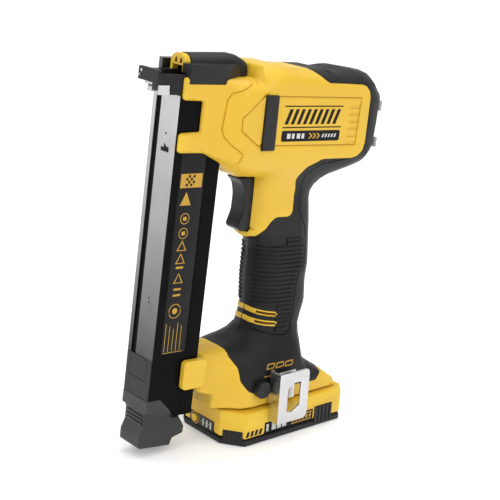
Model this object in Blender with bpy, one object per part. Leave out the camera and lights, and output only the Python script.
"""Cordless brad and staple nailer: clamshell head and handle, bottom-loading magazine, slide-on battery.

Axes: the muzzle points along -X, the belt hook is on the -Y side, +Z is up.
The origin is the middle of the battery's underside. Dimensions are in millimetres and are scaled on the way in.
The battery lies flat; everything else hangs from the empty tool_frame, which is tipped so that the muzzle rises.
"""

import math

import bmesh
import bpy
from mathutils import Vector, geometry

MM = 0.001
GAP = 0.3  # air between neighbouring pieces
TILT = math.radians(3.7)  # pitch of the tool above the battery's plane

# Clamshell body, in the tool frame.
HEAD_HALF_WIDTH = 30.0
ARM_HALF_WIDTH = 19.0
HANDLE_HALF_WIDTH = 17.5
FOOT_HALF_WIDTH = 35.0
FOOT_FRONT_HALF_WIDTH = 19.2
WALL = 4.2
GRIP_SKIN = 1.5
SKIN_AIR = 1.3  # air under the rubber skin

# Magazine, in the tool frame.
MAG_FRONT = -128.7
MAG_SPLIT = -97.0
MAG_REAR = -85.0
MAG_HALF_WIDTH = 15.0
MAG_TOP = 269.6
MAG_CAP_TOP = 72.0
MAG_LIP = 40.0
DRIVE_Z = 276.0

# Drive train, in the tool frame: spur gears of module 1 on axles along Y.
LIFTER_AXIS = (-16.0, 241.0)
IDLER_AXIS = (20.0, 241.0)
MOTOR_AXIS = (40.0, 241.0)
LIFTER_TEETH = 44
IDLER_TEETH = 28
MOTOR_TEETH = 12
RACK_MODULE = 2.5
RACK_PINION_TEETH = 16

# Battery, in the row frame.
BATTERY_FRONT = -59.0
BATTERY_REAR = 62.5
BATTERY_HALF_WIDTH = 39.0
BATTERY_TOP = 28.5
TRAY_TOP = 5.5
CELL_RADIUS = 9.1
CELL_PITCH = 19.4
CELL_LENGTH = 65.0


# ---------------------------------------------------------------- scene and materials


def clear_scene():
    for obj in list(bpy.data.objects):
        bpy.data.objects.remove(obj, do_unlink=True)


def make_material(name, colour, roughness, metallic=0.0):
    material = bpy.data.materials.new(name)
    material.use_nodes = True
    shader = material.node_tree.nodes["Principled BSDF"]
    shader.inputs["Base Color"].default_value = (*colour, 1.0)
    shader.inputs["Roughness"].default_value = roughness
    shader.inputs["Metallic"].default_value = metallic
    material.diffuse_color = (*colour, 1.0)
    return material


YELLOW = (0.86, 0.56, 0.035)
BLACK = (0.022, 0.022, 0.024)
RUBBER = (0.018, 0.018, 0.02)
ALUMINIUM = (0.6, 0.6, 0.62)
STEEL = (0.5, 0.5, 0.52)
DARK_STEEL = (0.06, 0.06, 0.065)
COPPER = (0.6, 0.27, 0.12)
CELL_BLUE = (0.05, 0.25, 0.45)
BOARD_GREEN = (0.02, 0.18, 0.08)
ELASTOMER = (0.5, 0.08, 0.05)
GREY = (0.32, 0.32, 0.33)


def paint(obj, colour, roughness, metallic=0.0):
    obj.data.materials.clear()
    obj.data.materials.append(make_material(obj.name, colour, roughness, metallic))


def make_frame(name, pitch):
    empty = bpy.data.objects.new(name, None)
    empty.rotation_euler = (0.0, pitch, 0.0)
    bpy.context.scene.collection.objects.link(empty)
    return empty


# ---------------------------------------------------------------- solid building blocks


def solid_from_bmesh(name, mesh_builder, parent):
    bmesh.ops.scale(mesh_builder, vec=(MM, MM, MM), verts=mesh_builder.verts)
    bmesh.ops.recalc_face_normals(mesh_builder, faces=mesh_builder.faces)
    mesh = bpy.data.meshes.new(name)
    mesh_builder.to_mesh(mesh)
    mesh_builder.free()
    obj = bpy.data.objects.new(name, mesh)
    obj.parent = parent
    bpy.context.scene.collection.objects.link(obj)
    return obj


def prism(name, outline, low, high, parent, axis="Y"):
    """A straight prism. The outline is in (X, Z) for axis Y, (X, Y) for axis Z and (Y, Z) for axis X."""
    place = {
        "X": lambda a, b, t: (t, a, b),
        "Y": lambda a, b, t: (a, t, b),
        "Z": lambda a, b, t: (a, b, t),
    }[axis]
    builder = bmesh.new()
    near = [builder.verts.new(place(a, b, low)) for a, b in outline]
    far = [builder.verts.new(place(a, b, high)) for a, b in outline]
    builder.faces.new(near)
    builder.faces.new(far)
    for i in range(len(outline)):
        j = (i + 1) % len(outline)
        builder.faces.new((near[i], near[j], far[j], far[i]))
    return solid_from_bmesh(name, builder, parent)


def box(name, low, high, parent):
    outline = [(low[0], low[1]), (high[0], low[1]), (high[0], high[1]), (low[0], high[1])]
    return prism(name, outline, low[2], high[2], parent, "Z")


def circle(centre, radius, count):
    steps = [2 * math.pi * i / count for i in range(count)]
    return [(centre[0] + radius * math.cos(s), centre[1] + radius * math.sin(s)) for s in steps]


def cylinder(name, centre, radius, low, high, parent, axis="Y", count=24):
    return prism(name, circle(centre, radius, count), low, high, parent, axis)


def rounded(corners, arc_step=30.0):
    """Corner list (a, b, radius) to an outline in which each corner with a radius is an arc."""
    outline = []
    count = len(corners)
    for i, (a, b, radius) in enumerate(corners):
        here = Vector((a, b))
        if radius == 0:
            outline.append((a, b))
            continue
        before = Vector(corners[i - 1][:2]) - here
        after = Vector(corners[(i + 1) % count][:2]) - here
        angle = before.angle(after)
        reach = min(radius / math.tan(angle / 2), 0.48 * before.length, 0.48 * after.length)
        radius = reach * math.tan(angle / 2)
        start = here + before.normalized() * reach
        centre = here + (before.normalized() + after.normalized()).normalized() * (
            radius / math.sin(angle / 2)
        )
        sweep = (start - centre).angle_signed(here + after.normalized() * reach - centre)
        steps = max(1, round(abs(math.degrees(sweep)) / arc_step))
        for k in range(steps + 1):
            turn = -sweep * k / steps
            arm = start - centre
            outline.append(
                (
                    centre.x + arm.x * math.cos(turn) - arm.y * math.sin(turn),
                    centre.y + arm.x * math.sin(turn) + arm.y * math.cos(turn),
                )
            )
    return outline


def inset(corners, distance):
    """A counterclockwise corner list (a, b, radius) moved inwards by distance."""
    moved = []
    count = len(corners)
    for i, (a, b, radius) in enumerate(corners):
        before = Vector((a, b)) - Vector(corners[i - 1][:2])
        after = Vector(corners[(i + 1) % count][:2]) - Vector((a, b))
        normal_in = Vector((-before.y, before.x)).normalized()
        normal_out = Vector((-after.y, after.x)).normalized()
        shift = (normal_in + normal_out) * (distance / (1 + normal_in.dot(normal_out)))
        bulges = before.x * after.y - before.y * after.x > 0
        radius = max(0.4, radius + (-distance if bulges else distance)) if radius else 0.0
        moved.append((a + shift.x, b + shift.y, radius))
    return moved


def boolean(obj, cutter, operation="DIFFERENCE"):
    modifier = obj.modifiers.new("cut_" + cutter.name, "BOOLEAN")
    modifier.operation = operation
    modifier.solver = "EXACT"
    modifier.object = cutter
    cutter.hide_render = True
    cutter.display_type = "WIRE"
    return obj


def bevel(obj, width, segments=2, angle=35.0):
    modifier = obj.modifiers.new("edge", "BEVEL")
    modifier.width = width * MM
    modifier.segments = segments
    modifier.limit_method = "ANGLE"
    modifier.angle_limit = math.radians(angle)
    return obj


def smooth(obj, angle=35.0):
    for face in obj.data.polygons:
        face.use_smooth = True
    obj.data.set_sharp_from_angle(angle=math.radians(angle))
    return obj


def coil(name, centre, radius, wire, low, high, turns, parent, axis="X", ends=8):
    """An open helical spring of round wire, as one tube with flat ends."""
    builder = bmesh.new()
    steps = turns * ends
    rings = []
    for i in range(steps + 1):
        turn = 2 * math.pi * i / ends
        along = low + wire + (high - low - 2 * wire) * i / steps
        ring = []
        for k in range(6):
            swing = 2 * math.pi * k / 6
            reach = radius + wire * math.cos(swing)
            rise = along + wire * math.sin(swing)
            across = centre[0] + reach * math.cos(turn)
            over = centre[1] + reach * math.sin(turn)
            point = (rise, across, over) if axis == "X" else (across, over, rise)
            ring.append(builder.verts.new(point))
        rings.append(ring)
    for one, two in zip(rings, rings[1:]):
        for k in range(6):
            m = (k + 1) % 6
            builder.faces.new((one[k], one[m], two[m], two[k]))
    builder.faces.new(rings[0])
    builder.faces.new(rings[-1])
    return smooth(solid_from_bmesh(name, builder, parent), 60)


def gear_outline(centre, teeth, module, first_tooth=0.0):
    """Spur gear with straight-flanked teeth that leave ample backlash. first_tooth is an angle."""
    pitch_radius = teeth * module / 2
    pitch_angle = 2 * math.pi / teeth
    outline = []
    for i in range(teeth):
        mid = first_tooth + i * pitch_angle
        for offset, reach in ((-0.21, -0.95), (-0.1, 0.8), (0.1, 0.8), (0.21, -0.95)):
            swing = mid + offset * pitch_angle
            radius = pitch_radius + reach * module
            outline.append((centre[0] + radius * math.cos(swing), centre[1] + radius * math.sin(swing)))
    return outline


# ---------------------------------------------------------------- clamshell surface


def ease(value, start, end):
    share = min(1.0, max(0.0, (value - start) / (end - start)))
    return share * share * (3 - 2 * share)


def mix(a, b, share):
    return a + (b - a) * share


def half_width(x, z):
    """How far the body reaches from the middle plane, before its edges are rounded."""
    head = mix(ARM_HALF_WIDTH, HEAD_HALF_WIDTH, ease(x, -95, -76))
    foot = mix(FOOT_FRONT_HALF_WIDTH, FOOT_HALF_WIDTH, ease(x, -68, -42))
    lower = mix(foot, HANDLE_HALF_WIDTH, ease(z, 56, 90))
    return mix(lower, head, ease(z, 192, 228))


def edge_radius(x, z):
    """Radius of the rounding between the side face and the outline, in the side view."""
    head = mix(mix(2.5, 13.0, ease(x, -96, -78)), 24.0, ease(x, 36, 66))
    lower = mix(2.6, mix(10.0, 16.5, ease(x, -60, -40)), ease(z, 36, 60))
    return mix(lower, head, ease(z, 196, 222))


def on_a_slope(point):
    """True where the side face runs from one width to another."""
    return point.x < -72 or 36 < point.y < 92 or 190 < point.y < 228


def distance_to(outline, point):
    best = 1e9
    for i in range(len(outline)):
        start = Vector(outline[i - 1])
        end = Vector(outline[i])
        side = end - start
        share = max(0.0, min(1.0, (point - start).dot(side) / max(side.length_squared, 1e-12)))
        best = min(best, (point - start - side * share).length)
    return best


def inside(outline, point):
    odd = False
    for i in range(len(outline)):
        ax, az = outline[i - 1]
        bx, bz = outline[i]
        if (az > point.y) != (bz > point.y):
            if point.x < ax + (point.y - az) * (bx - ax) / (bz - az):
                odd = not odd
    return odd


def divided(outline, longest):
    """The same closed outline with its long sides divided, so that none is longer than longest."""
    path = []
    for i in range(len(outline)):
        start = Vector(outline[i])
        end = Vector(outline[(i + 1) % len(outline)])
        count = math.ceil((end - start).length / longest)
        path += [tuple(start.lerp(end, k / count)) for k in range(count)]
    return path


def half_body(name, outline, thinner, side, spacing, parent, base=GAP / 2):
    """One half of the body, from the middle plane out to the rounded side surface.

    thinner is how far the surface lies inside the outer one. side is -1 for the left half and 1 for the right.
    """

    def height(point, distance):
        reach = half_width(point.x, point.y) - thinner
        radius = max(1.2, edge_radius(point.x, point.y) - thinner)
        depth = min(reach - 1.0, radius * 1.15)
        share = min(1.0, distance / radius)
        return reach - depth + depth * math.sqrt(max(0.0, 1 - (1 - share) ** 2))

    def add_inner_point(point):
        """Adds a point of the regular pattern if it lies on the flat of the side, clear of the rounding's rings."""
        if inside(outline, point):
            distance = distance_to(outline, point)
            radius = max(1.2, edge_radius(point.x, point.y) - thinner)
            if distance > radius + 0.4 * spacing:
                points.append(point)
                distances.append(distance)

    border = [Vector(p) for p in divided(outline, 1.4 * spacing)]
    points = list(border)
    distances = [0.0] * len(border)
    for swing in (22.5, 45.0, 67.5, 90.0):
        share = 1 - math.cos(math.radians(swing))
        for i, start in enumerate(border):
            along = border[(i + 1) % len(border)] - border[i - 1]
            step = Vector((-along.y, along.x)).normalized()
            reach = max(1.2, edge_radius(start.x, start.y) - thinner) * share
            point = start + step * reach
            if inside(outline, point) and distance_to(outline, point) > 0.93 * reach:
                if all((point - other).length > 1.1 for other in points[len(border) :]):
                    points.append(point)
                    distances.append(distance_to(outline, point))
    low_x = spacing * math.floor(min(p.x for p in border) / spacing)
    low_z = spacing * math.floor(min(p.y for p in border) / spacing)
    columns = math.ceil((max(p.x for p in border) - low_x) / spacing)
    rows = math.ceil((max(p.y for p in border) - low_z) / spacing)
    for column in range(columns):
        for row in range(rows):
            point = Vector((low_x + (column + 0.5) * spacing, low_z + (row + 0.5) * spacing))
            add_inner_point(point)
            middle = point + Vector((spacing / 2, spacing / 2))
            if on_a_slope(middle):
                add_inner_point(middle)
    edges = [(i, (i + 1) % len(border)) for i in range(len(border))]
    flat, _, faces, _, _, _ = geometry.delaunay_2d_cdt(points, edges, [], 1, 1e-4)
    builder = bmesh.new()
    outer = [
        builder.verts.new((p.x, side * height(p, distances[i]), p.y)) for i, p in enumerate(flat)
    ]
    for face in faces:
        builder.faces.new([outer[i] for i in face])
    inner = [builder.verts.new((p.x, side * base, p.y)) for p in border]
    builder.faces.new(inner)
    for i, j in edges:
        builder.faces.new((outer[i], outer[j], inner[j], inner[i]))
    return solid_from_bmesh(name, builder, parent)


# Corner lists are (x, z, radius), counterclockwise in the side view with +X to the right.
BODY_CORNERS = [
    (-126.5, 283.0, 2.0),
    (-126.5, 266.8, 3.0),
    (-108.0, 266.2, 1.5),
    (-108.0, 244.0, 1.5),
    (-126.5, 243.2, 3.0),
    (-126.5, 229.0, 3.0),
    (-103.0, 228.6, 8.0),
    (-88.0, 221.5, 8.0),
    (-77.0, 212.8, 6.0),
    (-64.0, 208.5, 2.0),
    (-44.0, 207.0, 1.0),
    (-43.5, 168.0, 2.0),
    (-46.0, 161.0, 3.0),
    (-34.0, 154.5, 4.0),
    (-32.6, 148.0, 4.0),
    (-32.0, 125.0, 20.0),
    (-29.2, 100.0, 12.0),
    (-32.5, 80.5, 10.0),
    (-50.0, 73.8, 10.0),
    (-83.0, 71.0, 5.0),
    (-83.0, 41.0, 4.0),
    (-67.5, 36.5, 2.0),
    (-67.5, 25.3, 1.0),
    (53.0, 33.1, 1.0),
    (47.6, 40.2, 4.0),
    (36.0, 48.6, 8.0),
    (17.4, 59.8, 5.0),
    (23.2, 84.0, 14.0),
    (27.8, 103.0, 14.0),
    (25.5, 121.0, 14.0),
    (26.0, 136.0, 14.0),
    (21.0, 172.0, 20.0),
    (17.0, 194.0, 10.0),
    (24.0, 204.0, 8.0),
    (42.0, 210.5, 4.0),
    (62.0, 213.5, 8.0),
    (74.0, 228.0, 12.0),
    (75.0, 250.0, 20.0),
    (75.6, 274.5, 11.0),
    (60.5, 289.8, 10.0),
    (38.0, 291.6, 8.0),
    (22.0, 289.5, 8.0),
    (8.0, 291.5, 8.0),
    (-26.0, 291.5, 8.0),
    (-40.0, 293.8, 8.0),
    (-60.0, 293.8, 3.0),
    (-62.5, 283.0, 1.0),
]
CAVITY_CORNERS = [
    (-81.0, 279.5, 2.0),
    (-81.0, 222.0, 6.0),
    (-60.0, 213.0, 6.0),
    (-39.0, 211.0, 2.0),
    (-38.5, 164.0, 2.0),
    (-29.0, 158.0, 3.0),
    (-27.6, 148.0, 6.0),
    (-26.0, 125.0, 20.0),
    (-23.6, 98.0, 10.0),
    (-28.6, 75.4, 10.0),
    (-49.0, 69.0, 6.0),
    (-78.0, 66.2, 4.0),
    (-78.0, 45.5, 3.0),
    (-62.5, 41.0, 2.0),
    (-62.5, 18.0, 0.0),
    (45.0, 18.0, 0.0),
    (45.0, 35.6, 3.0),
    (32.0, 43.6, 6.0),
    (12.6, 55.8, 6.0),
    (18.2, 84.0, 14.0),
    (23.6, 103.0, 14.0),
    (21.3, 121.0, 14.0),
    (21.8, 136.0, 14.0),
    (16.8, 172.0, 20.0),
    (12.8, 197.0, 8.0),
    (22.0, 208.5, 8.0),
    (42.0, 214.0, 4.0),
    (60.0, 216.5, 8.0),
    (69.8, 230.0, 10.0),
    (70.8, 250.0, 20.0),
    (69.8, 270.0, 10.0),
    (56.0, 283.0, 8.0),
    (-24.0, 287.3, 8.0),
    (-40.0, 289.6, 8.0),
    (-56.0, 289.6, 3.0),
    (-58.0, 279.5, 1.0),
]
GRIP_REGION = [
    (-9.0, 305.0, 0.0),
    (-10.0, 291.0, 0.0),
    (2.0, 282.5, 6.0),
    (48.5, 281.5, 10.0),
    (49.5, 224.0, 12.0),
    (6.0, 224.0, 4.0),
    (-8.0, 217.5, 4.0),
    (-13.5, 208.0, 6.0),
    (-8.5, 198.0, 6.0),
    (-7.0, 176.0, 5.0),
    (-26.0, 176.5, 8.0),
    (-38.0, 159.0, 6.0),
    (-60.0, 152.0, 0.0),
    (-64.0, 92.0, 0.0),
    (-63.0, 77.5, 3.0),
    (-57.6, 72.0, 3.0),
    (-58.4, 68.0, 3.0),
    (-53.5, 60.0, 6.0),
    (-51.5, 49.5, 6.0),
    (-45.5, 42.0, 3.0),
    (-34.0, 37.0, 3.0),
    (-12.0, 37.0, 4.0),
    (2.0, 41.0, 4.0),
    (26.0, 41.0, 4.0),
    (38.0, 53.0, 0.0),
    (100.0, 60.0, 0.0),
    (100.0, 305.0, 0.0),
]


def cut_box(obj, name, low, high, parent):
    return boolean(obj, box(name + "_cutter", low, high, parent))


def bumper_plan(side, margin=0.0):
    """Plan outline of the bumper along one side of the nose, chamfered at both of its ends."""
    inner = 11.5 - margin
    outer = 19.2 + margin
    plan = [(-126.0, inner), (-73.6 + margin, inner), (-73.6 + margin, 12.6), (-91.0, outer)]
    plan += [(-123.6, outer), (-126.0, 12.0)]
    return [(x, side * y) for x, y in plan]


def build_clamshell(side, word, tool):
    """One housing half with its rubber skin let into the outside."""
    outline = rounded(BODY_CORNERS)
    middle_outline = rounded(inset(BODY_CORNERS, GRIP_SKIN + SKIN_AIR))
    skin_outline = rounded(inset(BODY_CORNERS, GRIP_SKIN))
    region = rounded(GRIP_REGION)
    low_y, high_y = sorted((side * -2.0, side * 50.0))

    housing = half_body("housing_" + word, outline, 0.0, side, 7.0, tool)
    pocket = prism("pocket_" + word, region, low_y, high_y, tool)
    core = half_body("core_" + word, middle_outline, GRIP_SKIN + SKIN_AIR, side, 9.0, tool, -4.0)
    boolean(pocket, core)
    boolean(housing, pocket)
    cavity_outline = rounded(CAVITY_CORNERS)
    cavity = half_body("cavity_" + word, cavity_outline, WALL, side, 14.0, tool, -1.0)
    boolean(housing, cavity)
    cuts = (
        ("magazine_way", (-140, -15.4, 215), (MAG_REAR + 0.4, 15.4, 290)),
        ("trigger_way", (-60, -8.2, 163.4), (-30, 8.2, 206.8)),
        ("blade_way", (-90, -9.4, 273.0), (-75, 9.4, 278.6)),
        ("battery_way", (30, -25.0, 20), (60, 25.0, 42.0)),
    )
    for name, low, high in cuts:
        cut_box(housing, f"{name}_{word}", low, high, tool)
    low_y, high_y = sorted((side * 15.2, side * 40.0))
    cut_box(housing, "clip_seat_" + word, (-90, low_y, 46.0), (-78.4, high_y, 69.6), tool)
    seat = prism("bumper_seat_" + word, bumper_plan(side, GAP + 0.1), 278.4, 300, tool, "Z")
    boolean(seat, prism("seat_corner_" + word, [(-84.2, 277), (-72, 277), (-72, 284.2)], -30, 30, tool))
    boolean(housing, seat)
    low_y, high_y = sorted((side * 29.0, side * 40.0))
    seat = [(-60.2, 231.7), (-47.0, 231.7), (-48.4, 273.3), (-60.9, 273.3)]
    boolean(housing, prism("strip_seat_" + word, seat, low_y, high_y, tool))
    for i in range(6):
        base = 235.0 + 5.6 * i
        slot = [(28, base), (38.5, base), (38.5, base + 2.6), (28, base + 2.6)]
        low_y, high_y = sorted((side * 29.1, side * 40.0))
        boolean(housing, prism(f"vent_{word}_{i}", slot, low_y, high_y, tool))
    paint(smooth(housing, 40), YELLOW, 0.42)

    grip = half_body("grip_" + word, outline, 0.0, side, 7.0, tool)
    low_y, high_y = sorted((side * -2.0, side * 50.0))
    keep = prism("grip_region_" + word, rounded(inset(GRIP_REGION, GAP)), low_y, high_y, tool)
    boolean(grip, keep, "INTERSECT")
    skin = half_body("skin_" + word, skin_outline, GRIP_SKIN, side, 9.0, tool, -4.0)
    boolean(grip, skin)
    cut_box(grip, "grip_battery_way_" + word, (30, -25.0, 20), (60, 25.0, 42.0), tool)
    paint(smooth(grip, 40), RUBBER, 0.62)
    return housing, grip


# ---------------------------------------------------------------- revolved pieces


def lathe(name, centre, profile, parent, axis="Y", count=20):
    """Revolves a closed profile of (radius, along) points. A radius of 0 lies on the axis."""
    place = {
        "X": lambda a, b, t: (t, a, b),
        "Y": lambda a, b, t: (a, t, b),
        "Z": lambda a, b, t: (a, b, t),
    }[axis]
    builder = bmesh.new()
    rings = []
    for radius, along in profile:
        if radius == 0:
            rings.append([builder.verts.new(place(centre[0], centre[1], along))])
            continue
        ring = circle(centre, radius, count)
        rings.append([builder.verts.new(place(a, b, along)) for a, b in ring])
    for one, two in zip(rings, rings[1:] + rings[:1]):
        for k in range(count):
            m = (k + 1) % count
            corners = [one[k % len(one)], one[m % len(one)], two[m % len(two)], two[k % len(two)]]
            corners = list(dict.fromkeys(corners))
            if len(corners) > 2:
                builder.faces.new(corners)
    return smooth(solid_from_bmesh(name, builder, parent), 40)


# ---------------------------------------------------------------- nose and contact trip


def build_nose(tool):
    guide = box("nose_guide", (-140.6, -15.0, 270.2), (-137.6, -1.4, 272.6), tool)
    boolean(guide, box("guide_side", (-147.0, -15.0, 270.2), (-138.0, -13.3, 276.8), tool), "UNION")
    boolean(guide, box("guide_pad", (-147.2, -7.0, 271.4), (-139.0, -1.4, 274.6), tool), "UNION")
    paint(guide, STEEL, 0.3, 1.0)

    body = box("nose_body", (-137.2, -11.0, 270.0), (-100.0, 11.0, 280.6), tool)
    bridge = box("nose_bridge", (-137.2, -14.0, 270.4), (-123.0, -9.0, 280.0), tool)
    boolean(body, bridge, "UNION")
    side_outline = [
        (-148.0, 277.1),
        (-137.2, 277.1),
        (-137.2, 270.3),
        (-122.2, 270.3),
        (-122.2, 283.4),
        (-123.4, 284.6),
        (-148.0, 284.6),
    ]
    boolean(body, prism("nose_side_plate", side_outline, -15.2, -13.3, tool), "UNION")
    cut_box(body, "nose_slot", (-150, -8.5, DRIVE_Z - 1.1), (-90, 8.5, DRIVE_Z + 1.1), tool)
    paint(body, DARK_STEEL, 0.45, 0.8)

    plate_outline = [
        (-13.0, 273.0),
        (-7.3, 273.0),
        (-7.3, 277.7),
        (10.0, 277.7),
        (10.0, 286.2),
        (9.2, 287.0),
        (-12.2, 287.0),
        (-13.0, 286.2),
    ]
    trip = prism("contact_trip", plate_outline, -147.5, -144.5, tool, "X")
    arm = box("trip_arm", (-145.5, -2.0, 282.5), (-100, 2.0, 286.6), tool)
    end = box("trip_arm_end", (-108.5, -4.4, 282.5), (-96.0, 4.4, 288.9), tool)
    boolean(trip, arm, "UNION")
    boolean(trip, end, "UNION")
    paint(trip, BLACK, 0.45)
    spring = coil("contact_trip_spring", (0.0, 286.9), 2.3, 0.45, -95.6, -71.4, 7, tool)
    paint(spring, STEEL, 0.3, 1.0)


# ---------------------------------------------------------------- top of the head


def build_top(tool):
    sections = ((-116.2, 10.6, 298.6), (-80.0, 10.6, 299.4), (-71.0, 10.2, 298.2), (-63.2, 8.6, 294.8))
    builder = bmesh.new()
    rings = []
    for x, reach, top in sections:
        base = 283.4
        shoulder = base + 0.35 * (top - base)
        ring = [(-reach, base), (-reach, shoulder)]
        for k in range(1, 8):
            swing = math.pi * k / 8
            ring.append((-reach * math.cos(swing), shoulder + (top - shoulder) * math.sin(swing)))
        ring += [(reach, shoulder), (reach, base)]
        rings.append([builder.verts.new((x, y, z)) for y, z in ring])
    for one, two in zip(rings, rings[1:]):
        for k in range(len(one)):
            m = (k + 1) % len(one)
            builder.faces.new((one[k], one[m], two[m], two[k]))
    builder.faces.new(rings[0])
    builder.faces.new(rings[-1])
    cover = smooth(solid_from_bmesh("top_cover", builder, tool), 40)
    cut_box(cover, "cover_hollow", (-120, -7.6, 280), (-71, 7.6, 294), tool)
    paint(cover, BLACK, 0.42)

    button_outline = [
        (-8.2, 285.3),
        (-5.7, 285.3),
        (-5.7, 289.6),
        (5.7, 289.6),
        (5.7, 285.3),
        (8.2, 285.3),
        (8.2, 293.0),
        (6.2, 296.2),
        (2.5, 297.8),
        (-2.5, 297.8),
        (-6.2, 296.2),
        (-8.2, 293.0),
    ]
    button = prism("trip_lock_button", button_outline, -121.5, -116.6, tool, "X")
    paint(smooth(button, 50), YELLOW, 0.4)

    for side, word in ((-1, "left"), (1, "right")):
        bumper = prism("side_bumper_" + word, bumper_plan(side), 278.8, 292.4, tool, "Z")
        low_corner = [(-85, 278), (-72, 278), (-72, 285)]
        high_corner = [(-72, 289), (-72, 293), (-81, 293)]
        boolean(bumper, prism("bumper_low_corner_" + word, low_corner, -30, 30, tool))
        boolean(bumper, prism("bumper_high_corner_" + word, high_corner, -30, 30, tool))
        low_y, high_y = sorted((side * 5.0, side * 15.3))
        cut_box(bumper, "trip_room_" + word, (-140, low_y, 270), (-112.5, high_y, 285.2), tool)
        paint(bevel(bumper, 1.6, 2), BLACK, 0.45)

        outline = [(-59.9, 232.0), (-47.3, 232.0), (-48.7, 273.0), (-60.6, 273.0)]
        low_y, high_y = sorted((side * 29.3, side * 31.8))
        strip = prism("bumper_strip_" + word, outline, low_y, high_y, tool)
        paint(bevel(strip, 0.8, 2), BLACK, 0.5)

    guard_outline = [
        (-16, 229.0),
        (16, 229.0),
        (16, 237.0),
        (9.5, 237.0),
        (9.5, 258.6),
        (16, 258.6),
        (16, 266.6),
        (-16, 266.6),
        (-16, 258.6),
        (-9.5, 258.6),
        (-9.5, 237.0),
        (-16, 237.0),
    ]
    guard = prism("rear_guard", guard_outline, 75.5, 78.4, tool, "X")
    paint(bevel(guard, 0.5, 1), GREY, 0.4)


# ---------------------------------------------------------------- drive train


def build_driver(tool):
    blade = box("driver_blade", (-143.8, -6.9, DRIVE_Z - 0.8), (-55.3, 6.9, DRIVE_Z + 0.8), tool)
    paint(blade, STEEL, 0.25, 1.0)

    pitch = math.pi * RACK_MODULE
    pitch_line = LIFTER_AXIS[1] + RACK_PINION_TEETH * RACK_MODULE / 2
    root = pitch_line + 0.95 * RACK_MODULE
    outline = [(-55.0, 284.6), (-55.0, root)]
    tooth = LIFTER_AXIS[0] - 3.5 * pitch
    while tooth < 4:
        for offset, level in ((-0.21, root), (-0.1, pitch_line - 2), (0.1, pitch_line - 2), (0.21, root)):
            outline.append((tooth + offset * pitch, level))
        tooth += pitch
    outline += [(6.0, root), (6.0, 267.0), (-47.0, 267.0), (-47.0, 284.6)]
    carrier = prism("driver_carrier", outline, -5.5, 5.5, tool)
    paint(carrier, STEEL, 0.35, 1.0)

    spring = coil("drive_spring", (0.0, DRIVE_Z), 6.6, 1.0, -46.6, 52.2, 8, tool, "X", 8)
    paint(spring, DARK_STEEL, 0.3, 1.0)
    seat = box("drive_spring_guide", (52.5, -10, 263.5), (56.0, 10, 281.0), tool)
    boolean(seat, cylinder("guide_rod", (0.0, DRIVE_Z), 3.0, -10.0, 54.0, tool, "X", 14), "UNION")
    paint(seat, ALUMINIUM, 0.4, 1.0)
    buffer = box("front_buffer", (-61.5, -8.0, 262.0), (-55.4, 8.0, 273.5), tool)
    paint(buffer, ELASTOMER, 0.6)


def gear(name, axis, teeth, module, first_tooth, low, high, tool):
    """A spur gear whose first tooth points along +X, or first_tooth radians from it."""
    return prism(name, gear_outline(axis, teeth, module, first_tooth), low, high, tool)


def build_gears(tool):
    lifter = gear("lifter_gear", LIFTER_AXIS, LIFTER_TEETH, 1.0, 0.0, 14.5, 19.5, tool)
    pinion = gear("lifter_pinion", LIFTER_AXIS, RACK_PINION_TEETH, RACK_MODULE, 0.0, -6.0, 6.0, tool)
    boolean(lifter, cylinder("lifter_hub", LIFTER_AXIS, 8.0, -2.0, 16.0, tool, "Y", 20), "UNION")
    boolean(lifter, pinion, "UNION")
    boolean(lifter, cylinder("lifter_bore", LIFTER_AXIS, 4.0, -30, 40, tool, "Y", 16))
    paint(lifter, STEEL, 0.35, 1.0)
    axle = cylinder("lifter_axle", LIFTER_AXIS, 3.7, -14.0, 24.8, tool, "Y", 16)
    paint(smooth(axle), STEEL, 0.25, 1.0)

    idler = gear("idler_gear", IDLER_AXIS, IDLER_TEETH, 1.0, math.pi / IDLER_TEETH, 14.5, 19.5, tool)
    boolean(idler, cylinder("idler_bore", IDLER_AXIS, 3.3, -30, 40, tool, "Y", 16))
    paint(idler, STEEL, 0.35, 1.0)

    right = box("gear_plate_right", (-30, 20.3, 228), (50, 22.3, 254), tool)
    boolean(right, cylinder("axle_bore_right", LIFTER_AXIS, 4.0, 10, 30, tool, "Y", 16))
    boolean(right, cylinder("idler_pin", IDLER_AXIS, 3.0, 13.8, 21.3, tool, "Y", 14), "UNION")
    paint(right, ALUMINIUM, 0.45, 1.0)
    left = box("gear_plate_left", (-30, -11.5, 228), (4, -9.5, 256), tool)
    boolean(left, cylinder("axle_bore_left", LIFTER_AXIS, 4.0, -16, -4, tool, "Y", 16))
    paint(left, ALUMINIUM, 0.45, 1.0)


def build_motor(tool):
    profile = [(0, -23.4), (17.0, -23.4), (17.0, 12.0), (15.0, 12.0), (15.0, -21.8), (0, -21.8)]
    paint(lathe("motor_can", MOTOR_AXIS, profile, tool, "Y", 28), DARK_STEEL, 0.35, 0.9)
    profile = [(0, -21.2), (2.5, -21.2), (2.5, -18), (13.2, -18), (13.2, 8), (2.5, 8), (2.5, 16), (0, 16)]
    rotor = lathe("motor_rotor", MOTOR_AXIS, profile, tool, "Y", 20)
    pinion = gear("motor_pinion", MOTOR_AXIS, MOTOR_TEETH, 1.0, 0.0, 14.5, 19.5, tool)
    boolean(rotor, pinion, "UNION")
    paint(rotor, COPPER, 0.35, 0.8)


# ---------------------------------------------------------------- trigger and electrics


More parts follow.
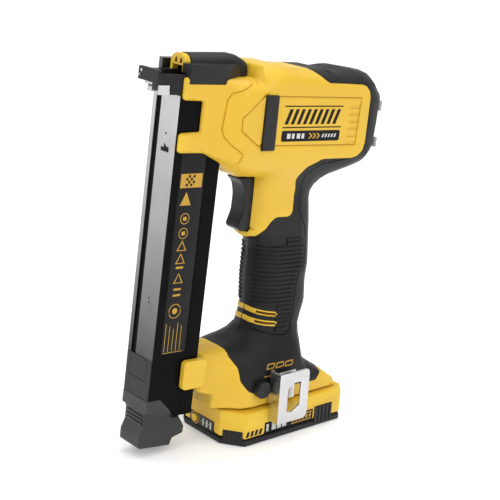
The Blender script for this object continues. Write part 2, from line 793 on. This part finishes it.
def build_trigger(tool):
    outline = rounded(
        [
            (-58.0, 206.0, 0.6),
            (-52.4, 201.0, 5.0),
            (-49.6, 192.0, 12.0),
            (-49.6, 178.0, 12.0),
            (-52.0, 171.5, 5.0),
            (-53.4, 167.0, 2.0),
            (-50.0, 164.2, 2.0),
            (-38.2, 164.6, 0.0),
            (-38.2, 206.0, 0.0),
        ]
    )
    trigger = prism("trigger", outline, -7.6, 7.6, tool)
    paint(bevel(trigger, 2.6, 3, 50), BLACK, 0.38)
    spring = coil("trigger_spring", (0.0, 190.0), 3.0, 0.5, -37.8, -26.4, 4, tool)
    paint(spring, STEEL, 0.3, 1.0)
    switch = box("trigger_switch", (-26.0, -8.0, 178.0), (-12.0, 8.0, 200.0), tool)
    paint(bevel(switch, 0.6, 1), BLACK, 0.5)
    board = box("control_board", (-12.0, -0.9, 94.0), (12.0, 0.9, 150.0), tool)
    paint(board, BOARD_GREEN, 0.4)


# ---------------------------------------------------------------- magazine


def channel(x_front, x_rear, wall, opening_at):
    """Plan outline of a channel as wide as the magazine that is open at its front or its rear."""
    reach = MAG_HALF_WIDTH
    inner = reach - wall
    if opening_at == "rear":
        return [
            (x_front, -reach),
            (x_rear, -reach),
            (x_rear, -inner),
            (x_front + wall, -inner),
            (x_front + wall, inner),
            (x_rear, inner),
            (x_rear, reach),
            (x_front, reach),
        ]
    return [
        (x_front, -reach),
        (x_rear, -reach),
        (x_rear, reach),
        (x_front, reach),
        (x_front, inner),
        (x_rear - wall, inner),
        (x_rear - wall, -inner),
        (x_front, -inner),
    ]


def build_magazine(tool):
    web_front = MAG_FRONT + 1.2
    rail_outline = channel(MAG_SPLIT + GAP, MAG_REAR, 2.4, "front")
    rail = prism("magazine_rail", rail_outline, 24.0, MAG_TOP, tool, "Z")
    seat = box("pusher_spring_seat", (-116.0, -11.8, 41.6), (-86.0, 11.8, 44.4), tool)
    boolean(rail, seat, "UNION")
    paint(rail, BLACK, 0.4)

    cover = prism("magazine_cover", channel(web_front, MAG_SPLIT, 2.4, "rear"), 20.0, MAG_TOP, tool, "Z")
    slant = [(-140, 10), (-90, 10), (-90, 23.0), (-99.8, 23.0), (-116.0, MAG_LIP), (-140, MAG_LIP)]
    boolean(cover, prism("cover_end_cutter", slant, -30, 30, tool))
    cut_box(cover, "latch_room", (-140, -10.4, 52.0), (-120, 11.6, 72.2), tool)
    paint(cover, BLACK, 0.38)

    plate_back = web_front - GAP
    wide = box("front_strip", (MAG_FRONT, -15.0, MAG_CAP_TOP + GAP), (plate_back, 5.0, MAG_TOP), tool)
    paint(wide, ALUMINIUM, 0.32, 1.0)
    narrow = box("front_rail", (MAG_FRONT, 11.0, MAG_CAP_TOP + GAP), (plate_back, 15.0, MAG_TOP), tool)
    paint(narrow, ALUMINIUM, 0.32, 1.0)
    cap = box("magazine_end_cap", (MAG_FRONT, -15.0, MAG_LIP), (plate_back, 15.0, MAG_CAP_TOP), tool)
    cut_box(cap, "latch_window", (-140, -9.8, 54.0), (-120, 11.0, 80.0), tool)
    paint(cap, BLACK, 0.45)
    latch = box("latch_tab", (MAG_FRONT, -9.5, 54.4), (-125.0, 10.7, MAG_CAP_TOP - GAP), tool)
    paint(latch, BLACK, 0.45)

    foot_outline = [
        (-129.0, 36.0),
        (-129.0, 30.0),
        (-127.6, 28.0),
        (-127.4, 17.6),
        (-130.4, 10.0),
        (-130.4, 2.0),
        (-129.0, 0.6),
        (-100.4, -1.2),
        (-98.2, 4.6),
        (-88.6, 7.0),
        (-88.0, 12.4),
        (-92.6, 19.4),
        (-94.4, 21.8),
        (-102.0, 22.4),
        (-112.0, 33.0),
        (-116.0, 36.0),
    ]
    foot = prism("pull_foot", foot_outline, -12.4, 12.4, tool)
    bevel(foot, 0.7, 1, 30)
    shoulder_outline = [(-129.0, 39.7), (-129.0, 30.0), (-110.0, 26.0), (-104.0, 26.4), (-116.4, 39.7)]
    boolean(foot, prism("foot_shoulder", shoulder_outline, -15.0, 15.0, tool), "UNION")
    paint(foot, BLACK, 0.48)

    half_outline = [
        (-100.5, -15.5),
        (-100.5, -20.4),
        (-78.8, -20.4),
        (-78.8, -15.5),
        (MAG_REAR + 1.7, -15.5),
    ]
    clip_outline = half_outline + [(x, -y) for x, y in reversed(half_outline)]
    clip_outline += [(MAG_REAR + 0.4, 15.5), (MAG_REAR + 0.4, -15.5)]
    clip = prism("magazine_clip", clip_outline, 45.0, 70.0, tool, "Z")
    clip_side = rounded([(-100.5, 46.4, 3.0), (-78.8, 46.4, 3.0), (-78.8, 69.2, 3.0), (-100.5, 69.2, 3.0)])
    boolean(clip, prism("clip_side", clip_side, -30, 30, tool), "INTERSECT")
    paint(bevel(clip, 0.4, 1, 60), YELLOW, 0.42)

    spring = coil("pusher_spring", (-105.0, 0.0), 4.2, 0.6, 44.8, 128.6, 9, tool, "Z")
    paint(spring, STEEL, 0.3, 1.0)
    pusher = box("pusher", (-120.0, -5.8, 129.0), (-90.5, 5.8, 148.0), tool)
    paint(pusher, DARK_STEEL, 0.4, 0.9)
    staple_outline = [
        (-121.0, -7.4),
        (-91.6, -7.4),
        (-91.6, 7.4),
        (-121.0, 7.4),
        (-121.0, 6.2),
        (-92.8, 6.2),
        (-92.8, -6.2),
        (-121.0, -6.2),
    ]
    staples = prism("staple_stick", staple_outline, 148.4, 268.6, tool, "Z")
    paint(staples, (0.62, 0.6, 0.56), 0.35, 1.0)


# ---------------------------------------------------------------- belt hook


def build_belt_hook():
    plan = [
        (-24.0, -50.0),
        (7.0, -50.0),
        (7.0, -48.4),
        (-22.4, -48.4),
        (-22.4, -39.0),
        (2.0, -39.0),
        (2.0, -37.4),
        (-24.0, -37.4),
    ]
    hook = prism("belt_hook", plan, 18.0, 60.0, None, "Z")
    slot = [(-15.0, 27.6), (-8.2, 26.0), (-1.8, 31.0), (-1.8, 50.3), (-9.6, 50.3), (-15.0, 46.0)]
    boolean(hook, prism("hook_slot", slot, -56, -44, None))
    for name, front, low, high in (("upper", -21.0, 56.0, 70.0), ("lower", -30.0, 10.0, 32.0)):
        cut_box(hook, "hook_inner_" + name, (front, -39.7, low), (20, -30, high), None)
    for name, z, inward in (("top", 60.0, -1), ("bottom", 18.0, 1)):
        corner = [(3.4, z), (5.8, z + 1.0 * inward), (7.0, z + 3.6 * inward), (12, z), (7, z - 5 * inward)]
        boolean(hook, prism(f"hook_corner_{name}", corner, -56, -44, None))
    boolean(hook, cylinder("hook_hole", (-8.0, 44.0), 2.3, -44, -36, None, "Y", 14))
    paint(bevel(hook, 0.3, 1), STEEL, 0.28, 1.0)

    profile = [(0, -41.6), (3.4, -41.6), (4.0, -40.9), (4.0, -39.3), (2.0, -39.3), (2.0, -28.0), (0, -28.0)]
    screw = lathe("belt_hook_screw", (-8.0, 44.0), profile, None, "Y", 14)
    paint(screw, DARK_STEEL, 0.35, 1.0)
    boss = lathe("hook_boss", (-31.5, 45.5), [(0, -41.0), (6.0, -41.0), (7.0, -40.0), (7.0, -35.8), (0, -35.8)], None)
    paint(boss, BLACK, 0.45)


# ---------------------------------------------------------------- battery pack


def battery_plan(reduce=0.0):
    """Plan outline with the front corners cut back further than the rear ones."""
    front, rear, side = BATTERY_FRONT + reduce, BATTERY_REAR - reduce, BATTERY_HALF_WIDTH - reduce
    half = [(front, -22.0 + reduce / 2), (front + 13.0 - reduce / 2, -side), (rear - 7.0, -side), (rear, -side + 8.0)]
    return half + [(x, -y) for x, y in reversed(half)]


def build_battery_tray():
    tray = prism("battery_tray", battery_plan(0.0), 0.0, TRAY_TOP - GAP, None, "Z")
    bevel(tray, 1.0, 1, 60)
    for side, word in ((-1, "left"), (1, "right")):
        low_y, high_y = sorted((side * 37.7, side * 39.6))
        pad = box("tray_grip_" + word, (27, low_y, 3.0), (46, high_y, 17.4), None)
        low_y, high_y = sorted((side * 39.0, side * 42))
        for i in range(4):
            groove = 29.6 + 4.2 * i
            cut_box(pad, f"groove_{word}_{i}", (groove, low_y, 0), (groove + 1.8, high_y, 30), None)
        boolean(tray, pad, "UNION")
    paint(tray, BLACK, 0.5)


def build_battery():
    build_battery_tray()
    top = prism("battery_top", battery_plan(), TRAY_TOP, BATTERY_TOP, None, "Z")
    bevel(top, 3.4, 2, 60)
    inside_plan = [(x, max(-36.4, min(36.4, y))) for x, y in battery_plan(2.6)]
    boolean(top, prism("battery_hollow", inside_plan, 0.0, BATTERY_TOP - 2.2, None, "Z"))
    boolean(top, box("rail_block", (-46, -23.5, BATTERY_TOP - 1), (44, 23.5, 38.5), None), "UNION")
    cut_box(top, "rail_hollow", (-43, -20.5, 20), (41, 20.5, 36.1), None)
    for side, word in ((-1, "left"), (1, "right")):
        low_y, high_y = sorted((side * 37.4, side * 45))
        cut_box(top, "grip_seat_" + word, (26.6, low_y, 0.0), (46.4, high_y, 17.8), None)
        low_y, high_y = sorted((side * 22.0, side * 30))
        cut_box(top, "rail_groove_" + word, (-60, low_y, 31.0), (60, high_y, 33.4), None)
    cut_box(top, "gauge_seat", (-70, -15.3, 5.9), (-57.8, 15.3, 15.7), None)
    cut_box(top, "release_seat", (BATTERY_REAR - 9, -12.4, 11.6), (BATTERY_REAR + 9, 12.4, 24.4), None)
    boolean(top, cylinder("button_way", (8.5, 10.8), 3.6, -70, -50, None, "X", 16))
    paint(top, YELLOW, 0.4)

    panel = box("gauge_panel", (-59.2, -15, 6.2), (-58.1, 15, 15.4), None)
    boolean(panel, cylinder("button_hole", (8.5, 10.8), 3.6, -70, -50, None, "X", 16))
    paint(panel, BLACK, 0.3)
    button = cylinder("gauge_button", (8.5, 10.8), 3.2, -60.2, -55.5, None, "X", 16)
    paint(smooth(button), YELLOW, 0.4)
    release = box("battery_release", (BATTERY_REAR - 3.8, -12, 12.0), (BATTERY_REAR + 2.0, 12, 24.0), None)
    paint(bevel(release, 1.0, 1), BLACK, 0.5)

    for i in range(5):
        centre = (CELL_PITCH * (i - 2) + 1.0, 16.4)
        cell = cylinder(f"cell_{i + 1}", centre, CELL_RADIUS, -CELL_LENGTH / 2, CELL_LENGTH / 2, None, "Y", 18)
        paint(smooth(cell), CELL_BLUE, 0.4)


# ---------------------------------------------------------------- screws and terminal block


def build_screws(tool, halves):
    places = (
        (-26.0, 209.0, 22.0),
        (-44.0, 66.0, 21.0),
        (4.0, 166.0, 16.0),
        (2.0, 63.0, 25.0),
    )
    for number, (x, z, seat) in enumerate(places, 1):
        shank = cylinder(f"screw_hole_{number}", (x, z), 1.9, -14.0, 45.0, tool, "Y", 10)
        head = cylinder(f"screw_well_{number}", (x, z), 3.6, seat - 2.4, 45.0, tool, "Y", 14)
        for obj in halves["right"]:
            boolean(obj, shank)
            boolean(obj, head)
        boolean(halves["left"][0], shank)
        profile = [(0, -13.0), (1.6, -13.0), (1.6, seat - 2.0), (3.3, seat - 2.0), (3.3, seat - 0.4), (0, seat - 0.4)]
        screw = lathe(f"housing_screw_{number}", (x, z), profile, tool, "Y", 12)
        paint(screw, DARK_STEEL, 0.35, 1.0)


def build_terminals(tool):
    block = box("terminal_block", (-40, -16, 42.5), (-8, 16, 49.5), tool)
    paint(block, BLACK, 0.5)


clear_scene()
tool_frame = make_frame("tool_frame", TILT)
both_halves = {
    "left": build_clamshell(-1, "left", tool_frame),
    "right": build_clamshell(1, "right", tool_frame),
}
build_nose(tool_frame)
build_top(tool_frame)
build_driver(tool_frame)
build_gears(tool_frame)
build_motor(tool_frame)
build_trigger(tool_frame)
build_magazine(tool_frame)
build_belt_hook()
build_battery()
build_screws(tool_frame, both_halves)
build_terminals(tool_frame)
bore = cylinder("hook_screw_way", (-8.0, 44.0), 2.4, -60.0, -24.0, None, "Y", 12)
for piece in both_halves["left"]:
    boolean(piece, bore)
